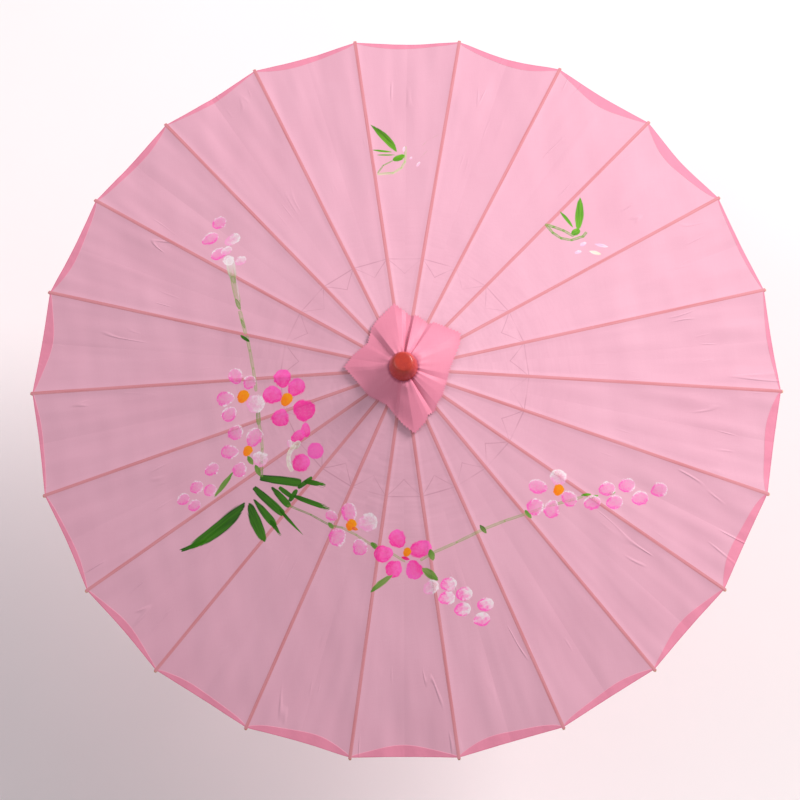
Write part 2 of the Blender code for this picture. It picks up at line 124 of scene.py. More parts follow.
camera_like_the_photograph()
area_light("key", (3.8, 2.3, 3.0), (0.0, 0.0, 0.4), 2.0, 328.0, (1.0, 0.98, 0.965))
area_light("fill", (-2.2, 0.4, 2.8), (0.0, 0.0, 0.4), 2.6, 24.0, (0.96, 0.97, 1.0))
world = bpy.data.worlds.new("studio")
world.use_nodes = True
world.node_tree.nodes["Background"].inputs["Color"].default_value = (0.90, 0.90, 0.92, 1.0)
world.node_tree.nodes["Background"].inputs["Strength"].default_value = 0.44
bpy.context.scene.world = world
bpy.context.scene.view_settings.view_transform = "Standard"


# ---------------------------------------------------------------- node helpers
def tone(red, green, blue):
    """A display colour, 0 to 255, as the linear colour that a shader takes."""
    linear = []
    for value in (red, green, blue):
        share = value / 255
        linear.append(share / 12.92 if share <= 0.04045 else ((share + 0.055) / 1.055) ** 2.4)
    return (*linear, 1.0)


class Nodes:
    """Adds nodes to a tree. Each call returns the socket that the new node gives."""

    def __init__(self, tree):
        self.tree = tree

    def add(self, kind, inputs=None, out=0, **settings):
        node = self.tree.nodes.new(kind)
        for name, value in settings.items():
            setattr(node, name, value)
        for key, value in (inputs or {}).items():
            if isinstance(value, bpy.types.NodeSocket):
                self.tree.links.new(value, node.inputs[key])
            else:
                node.inputs[key].default_value = value
        return node.outputs[out]

    def math(self, operation, *values, clamp=False):
        return self.add("ShaderNodeMath", dict(enumerate(values)), operation=operation, use_clamp=clamp)

    def times(self, first, second, clamp=False):
        return self.math("MULTIPLY", first, second, clamp=clamp)

    def fused(self, first, second, third):
        """first times second, plus third."""
        return self.math("MULTIPLY_ADD", first, second, third)

    def mix(self, factor, first, second):
        inputs = {0: factor, 6: first, 7: second}
        return self.add("ShaderNodeMix", inputs, out=2, data_type="RGBA")

    def ramp(self, value, start, end, low=0.0, high=1.0):
        """A smooth step from low to high as value goes from start to end."""
        inputs = {0: value, 1: start, 2: end, 3: low, 4: high}
        return self.add("ShaderNodeMapRange", inputs, interpolation_type="SMOOTHSTEP")

    def tint(self, value, start, end, most, under, over):
        """Turns one colour towards another, up to the share most, as value goes from start to end."""
        return self.mix(self.ramp(value, start, end, 0.0, most), under, over)

    def noise(self, vector, scale, detail, rough, dimensions="3D"):
        inputs = {"Vector": vector, "Scale": scale, "Detail": detail, "Roughness": rough}
        return self.add("ShaderNodeTexNoise", inputs, noise_dimensions=dimensions)

    def stretch(self, vector, scale):
        return self.add("ShaderNodeVectorMath", {0: vector, 1: scale}, operation="MULTIPLY")

    def streaks(self, vector, scales, detail, rough, dimensions="3D"):
        """Noise drawn out by its own amount along each axis."""
        return self.noise(self.stretch(vector, scales), 1.0, detail, rough, dimensions)

    def bump(self, height, distance, strength, normal=None):
        inputs = {"Height": height, "Distance": distance, "Strength": strength}
        if normal is not None:
            inputs["Normal"] = normal
        return self.add("ShaderNodeBump", inputs)

    def uv(self, name):
        return self.add("ShaderNodeUVMap", uv_map=name)

    def carried(self, name):
        """A value that the mesh carries on its points."""
        return self.add("ShaderNodeAttribute", out="Fac", attribute_name=name)

    def place(self):
        return self.add("ShaderNodeTexCoord", out="Object")


def material(name, **constants):
    """A new material with one Principled shader whose plain sockets are set, and its Nodes."""
    made = bpy.data.materials.new(name)
    made.use_nodes = True
    shader = made.node_tree.nodes["Principled BSDF"]
    for key, value in constants.items():
        shader.inputs[key.replace("_", " ")].default_value = value
    return made, Nodes(made.node_tree), shader


def wire(nodes, shader, colour=None, roughness=None, normal=None):
    """Links what is given to the shader."""
    for key, value in (("Base Color", colour), ("Roughness", roughness), ("Normal", normal)):
        if value is not None:
            nodes.tree.links.new(value, shader.inputs[key])


# ---------------------------------------------------------------- the painted flowers
WHITE = tone(232, 220, 224)
BLUSH = tone(238, 150, 198)
ORCHID = tone(240, 84, 178)
MAGENTA = tone(242, 44, 152)
HOT = tone(250, 92, 184)
ROSE = tone(214, 24, 74)
AMBER = tone(240, 150, 0)
EMBER = tone(236, 112, 4)
CREAM = tone(218, 208, 176)
LEAF_DARK = tone(20, 74, 2)
LEAF = tone(60, 124, 10)
LEAF_BRIGHT = tone(112, 176, 36)
SAGE = tone(134, 152, 84)
OLIVE = tone(178, 172, 134)

PALE = (ORCHID, BLUSH)
BRIGHT = (MAGENTA, HOT)
LIGHT = (BLUSH, WHITE)
GREEN = (LEAF_DARK, LEAF)
FRESH = (LEAF, LEAF_BRIGHT)
STEM = (SAGE, OLIVE)
NODE = (LEAF, SAGE)      # a short thick touch where a stem branches
CM = 0.01

PLAIN = (0.0, 0.0, 0.0, 0.0)
PALE_EDGE = (0.95, 0.72, 1.15, 0.0)
RICH_EDGE = (0.0, 0.2, 1.0, 0.0)
LEAF_EDGE = (0.0, 0.0, 0.9, 0.0)
RING_EDGE = (0.25, 0.3, 1.2, 0.0)
WHITE_EDGE = (1.0, 0.65, 0.4, 0.0)
DRY_END = (0.0, 0.0, 0.35, 1.0)
WORN = (0.0, 0.7, 0.0, 0.25)
ROUND_HAIRS = (1.9, 2.4)
LONG_HAIRS = (0.7, 3.4)

REACH_MARGIN = 0.1      # how far a stroke's ragged edge may run past its outline
PETAL_SPREAD, BUD_SPREAD = 1.05, 1.12   # a touch of the brush spreads a little as it wets the silk

strokes = []


def stroke(
    centre, turn, along, across, colours,
    bend=0.0, point=0.5, lean=0.0, blend=(0.3, 0.35, 1.1), edge=PLAIN, hairs=LONG_HAIRS,
):
    """One touch of the brush. Lengths are in centimetres on the open canopy, seen from above.

    bend, point and lean shape it, blend says how its two colours share it, and edge says how far its rim
    turns white, how thin its middle is, how far its rim keeps the first colour and how dry its end runs.
    """
    reach = math.hypot(along, across * (1 + abs(bend))) / 2
    strokes.append(
        {
            "centre": (centre[0] * CM, centre[1] * CM),
            "reach": (reach + REACH_MARGIN) * CM,
            "inputs": {
                "Centre": (centre[0] * CM, centre[1] * CM, 0.0),
                "Turn": (0.0, 0.0, turn),
                "Size": (along / 2 * CM, across / 2 * CM, 1.0),
                "Shape": (bend, point, lean),
                "Blend": blend,
                "Edge": edge[:3],
                "Hairs": (*hairs, 1.0),
                "Dry": edge[3],
                "Start": colours[0],
                "End": colours[1],
            },
        }
    )


def between(start, end, width, colours, bend=0.0, point=0.8, lean=0.0, blend=(0.4, 0.0, 1.0), edge=PLAIN):
    """A touch from one point to another. A positive bend bows it to the left of its direction."""
    dx, dy = end[0] - start[0], end[1] - start[1]
    middle = ((start[0] + end[0]) / 2, (start[1] + end[1]) / 2)
    stroke(middle, math.atan2(dy, dx), math.hypot(dx, dy), width, colours, bend, point, lean, blend, edge)


def trail(points, width, colours):
    """A stem or a thin tail drawn through several points."""
    for start, end in zip(points, points[1:]):
        length = math.dist(start, end)
        extra = width * 0.4 / length
        reach_start = [a + (a - b) * extra for a, b in zip(start, end)]
        reach_end = [b + (b - a) * extra for a, b in zip(start, end)]
        between(reach_start, reach_end, width, colours, point=0.12, blend=(0.1, 0.3, 1.2), edge=WORN)


def petal(centre, heart, width, height, colours):
    """A round touch whose narrow end points at the heart of its flower."""
    turn = math.atan2(centre[1] - heart[1], centre[0] - heart[0])
    along = math.hypot(width * math.cos(turn), height * math.sin(turn))
    across = math.hypot(width * math.sin(turn), height * math.cos(turn))
    dab(centre, turn, along * PETAL_SPREAD, across * PETAL_SPREAD, colours, 0.16)


def dab(centre, turn, along, across, colours, lean):
    """A round touch, rich on its lower left and paler or whiter on its upper right."""
    if colours == LIGHT:
        edge = WHITE_EDGE
    elif colours == (HOT, WHITE):
        edge = RING_EDGE
    else:
        edge = PALE_EDGE if BLUSH in colours or WHITE in colours else RICH_EDGE
    pale_side = 0.7 + 0.8 * math.sin(7.0 * centre[0] + 3.0 * centre[1]) - turn
    blend = (math.cos(pale_side), math.sin(pale_side), 1.1)
    stroke(centre, turn, along, across, colours, lean=lean, blend=blend, edge=edge, hairs=ROUND_HAIRS)


def blossom(heart, heart_width, petals):
    """A flower: its petals as (x, y, width, height, colours), then its amber heart."""
    for x, y, width, height, colours in petals:
        petal((x, y), heart, width, height, colours)
    look = {"point": 0.42, "lean": 0.12, "blend": (-0.6, 0.3, 0.9), "hairs": ROUND_HAIRS}
    stroke(heart, 0.9, heart_width, heart_width * 0.92, (AMBER, EMBER), **look)


def bud(x, y, width=1.4, height=1.3, colours=PALE, turn=0.4):
    dab((x, y), turn, width * BUD_SPREAD, height * BUD_SPREAD, colours, 0.1)


def paint_left_spray():
    """The tall stem with its two pale flowers, one bright flower and the buds round them."""
    white_end = {"point": 0.3, "lean": -0.25, "blend": (0.9, 0.0, 0.6), "edge": WORN}
    between((-17.0, 16.9), (-16.8, 13.6), 1.05, (WHITE, SAGE), **white_end)
    between((-16.9, 14.6), (-16.6, 10.5), 0.72, (SAGE, OLIVE), point=0.2, lean=-0.15, edge=WORN)
    between((-16.55, 14.3), (-16.5, 11.6), 0.18, LIGHT, point=0.4, edge=WORN)
    between((-16.9, 11.9), (-16.5, 10.4), 0.5, NODE, edge=WORN)
    trail([(-16.6, 10.2), (-16.5, 9.3), (-16.3, 7.7)], 0.46, STEM)
    between((-16.6, 9.4), (-16.3, 8.2), 0.3, NODE, edge=WORN)
    trail([(-16.2, 7.2), (-16.1, 5.6), (-16.0, 3.5), (-16.0, 1.0)], 0.38, STEM)
    between((-16.0, 6.6), (-16.9, 7.5), 0.4, GREEN, point=0.5)
    trail([(-16.1, -1.5), (-16.2, -2.6)], 0.52, NODE)
    trail([(-16.2, -2.4), (-16.1, -4.0), (-16.2, -5.5), (-16.5, -7.0)], 0.34, STEM)
    trail([(-16.5, -7.0), (-16.7, -8.3)], 0.46, NODE)
    bud(-17.1, 16.5, 1.1, 1.2, (WHITE, WHITE), turn=1.9)
    bud(-15.8, 16.2, 1.2, 1.0, LIGHT)
    bud(-18.1, 17.5, 1.7, 1.3)
    bud(-17.2, 17.7, 1.2, 0.9, LIGHT)
    bud(-16.4, 18.9, 1.7, 1.2, LIGHT)
    bud(-18.8, 19.5, 1.8, 1.3)
    bud(-17.6, 21.2, 1.5, 1.4)
    blossom((-17.5, 0.6), 1.5, [
        (-18.0, 3.0, 1.6, 1.8, PALE), (-16.6, 2.0, 1.5, 1.5, PALE), (-19.4, 0.8, 1.9, 1.7, PALE),
        (-19.2, -1.0, 1.9, 1.4, PALE), (-16.3, -0.4, 2.0, 2.2, LIGHT),
    ])
    blossom((-12.9, -0.7), 1.5, [
        (-13.0, 1.7, 2.0, 2.0, BRIGHT), (-11.7, 0.4, 1.9, 2.1, BRIGHT), (-14.3, 0.1, 2.1, 2.1, BRIGHT),
        (-13.8, -2.5, 2.1, 1.8, BRIGHT), (-11.2, -2.2, 2.1, 2.7, (MAGENTA, MAGENTA)),
    ])
    bud(-11.3, -4.4, 0.9, 1.6, BRIGHT, turn=0.0)
    bud(-12.2, -4.9, 1.5, 1.2, BRIGHT)
    bud(-13.2, -5.5, 0.5, 0.9, LIGHT, turn=0.0)
    stroke((-12.5, -5.8), 0.6, 1.1, 0.8, (OLIVE, WHITE), edge=WHITE_EDGE, hairs=ROUND_HAIRS)
    white_curl = [(-12.8, -5.9), (-13.3, -6.4), (-13.55, -7.0), (-13.6, -7.7), (-13.4, -8.3)]
    trail(white_curl, 0.52, (CREAM, WHITE))
    bud(-12.3, -7.8, 1.8, 1.9, BRIGHT)
    bud(-10.6, -6.8, 1.6, 1.8, (ORCHID, HOT))
    blossom((-17.8, -5.4), 1.2, [
        (-16.9, -4.1, 1.5, 2.3, PALE), (-18.8, -3.2, 1.9, 1.4, PALE), (-19.7, -5.1, 1.9, 1.6, PALE),
        (-18.9, -7.2, 1.6, 1.6, PALE), (-16.6, -6.5, 1.9, 1.5, LIGHT),
    ])
    between((-17.9, -5.9), (-17.4, -7.0), 0.6, NODE)
    between((-17.2, -7.0), (-16.8, -8.4), 0.6, NODE)
    between((-19.6, -7.3), (-22.1, -9.7), 0.6, NODE)
    bud(-21.9, -6.6, 1.5, 1.3)
    bud(-23.8, -8.2, 1.4, 1.3)
    bud(-22.4, -8.8, 1.3, 1.3)
    bud(-25.4, -9.2, 1.3, 1.2)
    bud(-24.3, -10.1, 1.3, 1.2)


def paint_leaves():
    """The long dark leaves below the left spray, with thin ends drawn out to the right."""
    for start, end, width, colours, bend, point, lean, edge in (
        ((-16.9, -8.5), (-12.5, -9.9), 1.0, GREEN, 0, 0.14, 0.08, LEAF_EDGE),
        ((-13.0, -10.4), (-11.3, -9.5), 0.6, GREEN, 0, 0.3, 0, LEAF_EDGE),
        ((-12.2, -9.8), (-10.0, -10.6), 0.6, GREEN, 0, 0.4, -0.2, DRY_END),
        ((-17.7, -9.4), (-14.9, -12.9), 0.98, GREEN, 0, 0.2, 0.12, LEAF_EDGE),
        ((-15.3, -12.2), (-13.0, -15.5), 0.34, GREEN, -0.3, 0.6, -0.7, PLAIN),
        ((-15.8, -9.7), (-14.1, -12.2), 0.8, GREEN, 0, 0.35, 0.35, LEAF_EDGE),
        ((-15.0, -9.9), (-13.6, -11.3), 0.6, (LEAF, LEAF_DARK), 0, 0.25, 0, LEAF_EDGE),
        ((-14.1, -11.6), (-13.1, -10.5), 0.62, GREEN, 0, 0.3, 0, LEAF_EDGE),
        ((-13.6, -11.1), (-9.9, -13.2), 0.62, GREEN, 0, 0.4, -0.1, DRY_END),
        ((-17.9, -10.6), (-15.9, -14.0), 0.85, GREEN, 0, 0.4, 0.4, LEAF_EDGE),
        ((-16.4, -13.2), (-15.5, -15.0), 0.5, GREEN, 0, 0.5, -0.4, DRY_END),
        ((-18.4, -10.9), (-17.3, -15.4), 1.35, GREEN, -0.1, 0.55, 0, LEAF_EDGE),
        ((-18.8, -10.8), (-25.6, -14.5), 1.7, GREEN, 0.5, 0.62, -0.1, LEAF_EDGE),
        ((-23.4, -14.0), (-26.4, -14.6), 0.55, (LEAF, LEAF_DARK), 0.2, 0.4, 0, DRY_END),
        ((-20.6, -12.1), (-24.2, -14.1), 0.25, GREEN, 1.4, 0.8, 0, WORN),
    ):
        between(start, end, width, colours, bend, point, lean, edge=edge)


def paint_low_spray():
    """The stem that runs down to the middle flowers, and the buds that fall away from them."""
    trail([(-14.3, -12.0), (-12.0, -13.4), (-10.1, -14.9), (-8.9, -15.3)], 0.24, NODE)
    trail([(-8.9, -15.3), (-7.5, -16.3), (-5.8, -17.8), (-4.0, -18.8), (-2.8, -19.8)], 0.28, STEM)
    blossom((-7.9, -15.2), 1.3, [
        (-7.9, -13.9, 1.7, 2.0, PALE), (-9.8, -13.9, 1.5, 0.9, PALE), (-6.1, -15.2, 2.0, 2.0, LIGHT),
        (-9.5, -16.2, 1.8, 2.0, PALE), (-7.3, -17.6, 1.7, 1.7, PALE),
    ])
    between((-7.9, -15.5), (-7.2, -15.8), 0.4, (ROSE, AMBER))
    between((-10.3, -14.5), (-9.8, -15.3), 0.5, NODE)
    between((-6.1, -17.3), (-5.4, -18.2), 0.65, NODE)
    blossom((-2.4, -18.9), 1.0, [
        (-3.2, -17.4, 1.9, 1.9, BRIGHT), (-4.9, -18.7, 2.0, 1.9, BRIGHT),
        (-4.0, -20.4, 1.9, 1.8, BRIGHT), (-1.0, -18.8, 2.5, 1.9, BRIGHT),
        (-1.9, -20.8, 1.9, 2.0, (ORCHID, MAGENTA)),
    ])
    between((-3.1, -19.3), (-2.2, -19.7), 0.4, (ROSE, MAGENTA))
    between((-4.2, -21.0), (-6.9, -22.5), 0.72, (SAGE, LEAF), bend=-0.2, edge=LEAF_EDGE)
    between((-1.1, -20.7), (0.5, -22.3), 0.95, (SAGE, LEAF), edge=LEAF_EDGE)
    for x, y in ((1.5, -22.8), (1.1, -24.2), (3.0, -24.0), (2.6, -25.6), (5.1, -25.4), (4.5, -26.9)):
        bud(x, y, 1.65, 1.4, (HOT, WHITE), turn=0.1)
    bud(-0.4, -22.9, 1.6, 1.4, LIGHT)


def paint_right_spray():
    """The pale branch to the right with one flower and a run of buds at its end."""
    trail([(-1.0, -19.9), (0.2, -19.4), (3.0, -18.6), (6.1, -17.6), (8.4, -17.0)], 0.34, STEM)
    trail([(8.4, -17.0), (11.0, -16.5), (13.0, -16.0), (17.0, -15.4)], 0.32, STEM)
    between((0.05, -18.9), (0.25, -20.2), 0.75, NODE)
    between((5.7, -17.1), (6.3, -18.1), 0.55, (LEAF_DARK, SAGE))
    between((10.7, -16.1), (11.3, -17.1), 0.55, NODE)
    blossom((14.6, -14.4), 1.3, [
        (12.5, -13.8, 2.0, 1.6, PALE), (14.8, -13.1, 1.9, 1.7, LIGHT), (15.6, -15.4, 1.7, 1.8, PALE),
        (11.9, -15.9, 1.8, 1.9, PALE), (13.6, -16.3, 1.7, 2.0, PALE),
    ])
    between((16.9, -15.2), (18.1, -15.2), 0.34, FRESH)
    between((17.8, -15.6), (18.8, -15.4), 0.42, FRESH)
    between((19.8, -15.4), (20.7, -15.2), 0.36, FRESH)
    low_and_high = ((18.0, -16.1), (19.8, -14.8), (20.4, -16.3), (22.0, -14.6), (23.2, -16.1), (25.4, -15.4))
    for x, y in low_and_high:
        bud(x, y, 1.7, 1.5, PALE, turn=0.2)


def paint_leaf_sprigs():
    """The two green sprigs with white dots near the top of the canopy."""
    between((0.3, 30.2), (2.8, 26.3), 0.95, (LEAF_DARK, LEAF_BRIGHT), bend=0.45, lean=0.2)
    between((0.1, 27.0), (2.3, 26.4), 0.3, FRESH)
    between((0.5, 26.3), (2.6, 26.0), 0.2, FRESH)
    stroke((2.9, 25.6), 0.3, 1.5, 0.8, FRESH)
    trail([(3.8, 26.8), (3.5, 25.0), (3.0, 24.3), (2.0, 23.8), (0.4, 23.9)], 0.3, (LEAF_BRIGHT, CREAM))
    trail([(2.1, 25.3), (1.1, 24.9), (0.4, 24.1)], 0.18, FRESH)
    stroke((3.6, 26.6), 1.3, 0.7, 0.35, LIGHT)
    stroke((4.2, 25.4), 0.8, 0.4, 0.3, LIGHT)
    stroke((4.9, 24.5), 0.9, 0.7, 0.35, LIGHT)
    trail([(5.3, 25.3), (6.1, 26.0)], 0.12, (BLUSH, OLIVE))
    trail([(5.6, 26.6), (6.3, 27.3), (7.6, 27.8)], 0.12, (BLUSH, OLIVE))
    between((21.9, 18.4), (21.0, 14.3), 1.0, FRESH, bend=0.15)
    between((19.4, 16.9), (20.6, 14.8), 0.45, FRESH, bend=0.3)
    stroke((20.8, 14.3), 0.4, 1.1, 0.85, FRESH)
    trail([(17.7, 15.4), (18.5, 15.1), (19.5, 14.6), (20.4, 13.9)], 0.36, FRESH)
    wing = [(17.8, 15.2), (18.3, 14.4), (19.1, 13.7), (20.2, 13.4), (21.5, 13.7), (21.9, 14.1)]
    trail(wing, 0.34, FRESH)
    stroke((21.4, 12.8), 0.4, 0.8, 0.5, LIGHT)
    stroke((20.7, 11.9), 0.2, 0.8, 0.45, LIGHT)
    between((22.6, 12.7), (24.1, 12.2), 0.45, LIGHT)
    between((21.9, 11.9), (23.2, 11.4), 0.5, (WHITE, CREAM))


for paint in (paint_leaves, paint_left_spray, paint_low_spray, paint_right_spray, paint_leaf_sprigs):
    paint()


def stroke_group():
    """The node group that lays one brush stroke over a colour. It works on the flat map, in metres.

    The map is shifted by a ten-thousandth of a millimetre times the colour beneath. That cannot be seen,
    but it ties each stroke to the one before, so the renderer works them out in turn and stays within its
    limits.
    """
    group = bpy.data.node_groups.new("brush_stroke", "ShaderNodeTree")
    face = group.interface
    vectors = ("Centre", "Turn", "Size", "Shape", "Blend", "Edge", "Hairs")
    kinds = (("Color", ("Under",)), ("Vector", vectors), ("Float", ("Dry",)), ("Color", ("Start", "End")))
    for kind, names in kinds:
        for name in names:
            face.new_socket(name, in_out="INPUT", socket_type="NodeSocket" + kind)
    face.new_socket("Colour", in_out="OUTPUT", socket_type="NodeSocketColor")
    nodes = Nodes(group)
    given = group.nodes.new("NodeGroupInput").outputs
    tied = {0: given["Under"], 1: (1e-7, 1e-7, 0.0), 2: nodes.uv("flat")}
    shifted = nodes.add("ShaderNodeVectorMath", tied, operation="MULTIPLY_ADD")
    placing = {0: shifted, 1: given["Centre"], 2: given["Turn"], 3: given["Size"]}
    local = nodes.add("ShaderNodeMapping", placing, vector_type="TEXTURE")
    axes = group.nodes.new("ShaderNodeSeparateXYZ")
    group.links.new(local, axes.inputs[0])
    shape = group.nodes.new("ShaderNodeSeparateXYZ")
    group.links.new(given["Shape"], shape.inputs[0])
    along, across = axes.outputs[0], axes.outputs[1]
    bend, point, lean = shape.outputs[0], shape.outputs[1], shape.outputs[2]
    room = nodes.fused(nodes.times(along, along), -1.0, 1.0)
    inside = nodes.math("MAXIMUM", room, 0.0)
    offset = nodes.fused(nodes.times(bend, inside), -1.0, across)
    width = nodes.times(nodes.math("POWER", inside, point), nodes.fused(lean, along, 1.0))
    moved = nodes.stretch(given["Centre"], (97.0, 61.0, 0.0))
    combed = {0: local, 1: given["Hairs"], 2: moved}
    hairs = nodes.add("ShaderNodeVectorMath", combed, operation="MULTIPLY_ADD")
    streak = nodes.math("SUBTRACT", nodes.noise(hairs, 1.0, 2.0, 0.6, "2D"), 0.5)
    spots = nodes.math("SUBTRACT", nodes.streaks(hairs, (3.1, 2.2, 1.0), 1.0, 0.5, "2D"), 0.5)
    gap = nodes.math("SUBTRACT", width, nodes.math("ABSOLUTE", offset))
    gap = nodes.math("MINIMUM", gap, nodes.times(room, 3.0))
    running_out = nodes.times(nodes.ramp(along, 0.1, 0.9), given["Dry"])
    rough = nodes.fused(running_out, 2.6, 0.45)
    ragged = nodes.fused(streak, rough, gap)
    cover = nodes.ramp(ragged, 0.0, 0.22)
    mixing = nodes.add("ShaderNodeCombineXYZ", {0: along, 1: across, 2: nodes.times(streak, 2.2)})
    pair = {0: mixing, 1: given["Blend"]}
    share = nodes.add("ShaderNodeVectorMath", pair, out="Value", operation="DOT_PRODUCT")
    edge = group.nodes.new("ShaderNodeSeparateXYZ")
    group.links.new(given["Edge"], edge.inputs[0])
    white_rim, thin_middle, rich_rim = edge.outputs[0], edge.outputs[1], edge.outputs[2]
    share_inside = nodes.fused(share, 0.6, 0.5)
    far_side = nodes.ramp(share_inside, 0.3, 0.8)
    rim = nodes.ramp(nodes.fused(spots, 0.5, gap), 0.45, 0.08)
    near_rim = nodes.times(rim, nodes.fused(far_side, -0.8, 1.0))
    kept = nodes.times(nodes.times(near_rim, rich_rim), -0.7)
    towards_end = nodes.math("ADD", share_inside, kept, clamp=True)
    paint_colour = nodes.mix(towards_end, given["Start"], given["End"])
    crescent = nodes.times(nodes.times(rim, far_side), white_rim)
    paint_colour = nodes.mix(crescent, paint_colour, WHITE)
    middle = nodes.times(nodes.ramp(gap, 0.1, 0.75), thin_middle)
    bare = nodes.times(nodes.ramp(spots, 0.0, 0.16), thin_middle)
    thick = nodes.fused(bare, -0.45, nodes.fused(middle, -0.6, 0.98))
    wash = nodes.times(cover, thick, clamp=True)
    result = nodes.mix(wash, given["Under"], paint_colour)
    group.links.new(result, group.nodes.new("NodeGroupOutput").inputs[0])
    return group


STROKE_GROUP = stroke_group()


def lay_strokes(nodes, colour, chosen):
    """Lays the chosen strokes over a colour, one after another."""
    for one in chosen:
        node = nodes.tree.nodes.new("ShaderNodeGroup")
        node.node_tree = STROKE_GROUP
        nodes.tree.links.new(colour, node.inputs["Under"])
        for key, value in one["inputs"].items():
            node.inputs[key].default_value = value
        colour = node.outputs[0]
    return colour


def strokes_between(azimuth_low, azimuth_high):
    """The strokes that touch the wedge of the canopy between two azimuths, in drawing order."""
    middle, half = (azimuth_low + azimuth_high) / 2, abs(azimuth_high - azimuth_low) / 2
    found = []
    for one in strokes:
        x, y = one["centre"]
        off = abs((math.atan2(y, x) - middle + math.pi) % math.tau - math.pi)
        beyond = math.hypot(x, y) * math.sin(min(max(off - half, 0.0), math.pi / 2))
        if beyond < one["reach"] and off < math.pi / 2:
            found.append(one)
    return found


# ---------------------------------------------------------------- silk
CANOPY_DYE = (tone(219, 165, 183), tone(212, 151, 171))
GLUED_DYE = (tone(212, 141, 150), tone(200, 121, 130))


def silk_ground(nodes, base, deep):
    """Dyed plain-weave silk: an uneven dye, fine threads both ways, and the weave's own relief."""
    flat = nodes.uv("flat")
    cloudy = nodes.noise(flat, 9.0, 3.0, 0.55)
    colour = nodes.tint(cloudy, 0.3, 0.7, 0.22, base, deep)
    warp = nodes.streaks(flat, (1500.0, 45.0, 1.0), 1.0, 0.5, "2D")
    weft = nodes.streaks(flat, (45.0, 1500.0, 1.0), 1.0, 0.5, "2D")
    threads = nodes.math("ADD", warp, weft)
    colour = nodes.tint(threads, 0.75, 1.25, 0.16, colour, deep)
    return colour, threads


def canopy_silk(name, chosen, glued):
    """The canopy's silk with the strokes that fall on one piece. Glued silk lies on a rib."""
    made, nodes, shader = material(
        name,
        Roughness=0.5,
        Sheen_Weight=0.04,
        Sheen_Roughness=0.35,
        Sheen_Tint=tone(255, 170, 200),
        Specular_IOR_Level=0.1,
    )
    dye = GLUED_DYE if glued else CANOPY_DYE
    colour, threads = silk_ground(nodes, *dye)
    gore = nodes.uv("gore")
    if glued:
        fibres = nodes.streaks(gore, (14.0, 900.0, 1.0), 2.0, 0.6, "2D")
        colour = nodes.tint(fibres, 0.42, 0.7, 0.45, colour, tone(191, 107, 112))
        height = nodes.fused(fibres, 0.5, threads)
        relief = nodes.bump(height, 0.00012, 0.6)
    else:
        hem = nodes.carried("hem")
        doubled = nodes.ramp(hem, -0.0003, 0.0003)
        colour = nodes.mix(nodes.times(doubled, 0.85), colour, tone(225, 132, 158))
        # Painted highlight: a pale line along the inner edge of the turned hem.
        hem_edge_highlight = nodes.ramp(nodes.math("ABSOLUTE", hem), 0.0, 0.0007, 0.4, 0.0)
        colour = nodes.mix(hem_edge_highlight, colour, tone(232, 160, 178))
        at_rim = nodes.ramp(nodes.carried("rim"), -0.0011, -0.0004)
        colour = nodes.mix(nodes.times(at_rim, 0.5), colour, tone(206, 98, 128))
        outer = nodes.carried("outer")
        inner = nodes.carried("inner")
        flat = nodes.uv("flat")
        outward = nodes.add("ShaderNodeVectorMath", {0: flat}, operation="NORMALIZE")
        distance = nodes.add("ShaderNodeVectorMath", {0: flat}, out="Value", operation="LENGTH")
        around = nodes.stretch(outward, (11.0, 11.0, 0.0))
        fan = nodes.add("ShaderNodeCombineXYZ", {2: nodes.times(distance, 6.0)})
        fan = nodes.add("ShaderNodeVectorMath", {0: around, 1: fan}, operation="ADD")
        slack = nodes.times(nodes.noise(fan, 1.0, 1.5, 0.45), outer)
        folds = nodes.streaks(fan, (1.5, 1.5, 1.2), 0.5, 0.5)
        off_middle = nodes.math("ABSOLUTE", nodes.math("SUBTRACT", folds, 0.5))
        ridge = nodes.ramp(off_middle, 0.0, 0.03, 1.0, 0.0)
        here = nodes.ramp(nodes.noise(flat, 17.0, 1.0, 0.5), 0.56, 0.7)
        pinched = nodes.times(nodes.times(ridge, here), outer)
        soft = nodes.streaks(flat, (22.0, 9.0, 1.0), 1.0, 0.5, "2D")
        round_hub = nodes.streaks(gore, (75.0, 12.0, 1.0), 2.0, 0.5, "2D")
        height = nodes.fused(slack, 1.8, nodes.times(soft, 1.3))
        height = nodes.fused(pinched, 0.36, height)
        height = nodes.fused(nodes.times(round_hub, inner), 0.4, height)
        crumpled = nodes.streaks(flat, (160.0, 160.0, 1.0), 1.0, 0.5, "2D")
        height = nodes.fused(nodes.times(crumpled, doubled), 0.14, height)
        height = nodes.fused(doubled, 0.12, height)
        # Painted shade: faint darker lines along the thread ring and zigzag under the silk, standing in for
        # the thread's shadow seen through the silk.
        seen = nodes.ramp(nodes.noise(flat, 30.0, 1.0, 0.5), 0.38, 0.6, 0.08, 0.34)
        for thread_name in ("ring", "zigzag"):
            away = nodes.carried(thread_name)
            line = nodes.times(nodes.ramp(nodes.math("ABSOLUTE", away), 0.0002, 0.001, 1.0, 0.0), seen)
            colour = nodes.mix(line, colour, tone(150, 92, 112))
        weave = nodes.bump(threads, 0.00006, 0.35)
        relief = nodes.bump(height, 0.0022, 0.6, weave)
    colour = lay_strokes(nodes, colour, chosen)
    wire(nodes, shader, colour, None, relief)
    return made


# ---------------------------------------------------------------- canopy shape
def azimuth_of(rib):
    """Rib numbers run clockwise from +Y, seen from above."""
    return FIRST_AZIMUTH - rib * RIB_STEP


def body_of(rib):
    return f"rib_{rib + 1:02d}"


def direction(azimuth):
    return np.array([math.cos(azimuth), math.sin(azimuth), 0.0])


def rib_top(radius):
    """Height of the upper face of a rib at this distance from the axis."""
    return HINGE_HEIGHT - (radius - HINGE_RADIUS) * math.tan(PITCH) + RIB_OVER / math.cos(PITCH)


def band_half_width(radius):
    return min(BAND_HALF_WIDTH, 0.42 * radius * math.sin(HALF_STEP))


def gore_of(rib, side):
    """Gore n lies clockwise of rib n."""
    return rib if side < 0 else (rib - 1) % RIB_COUNT


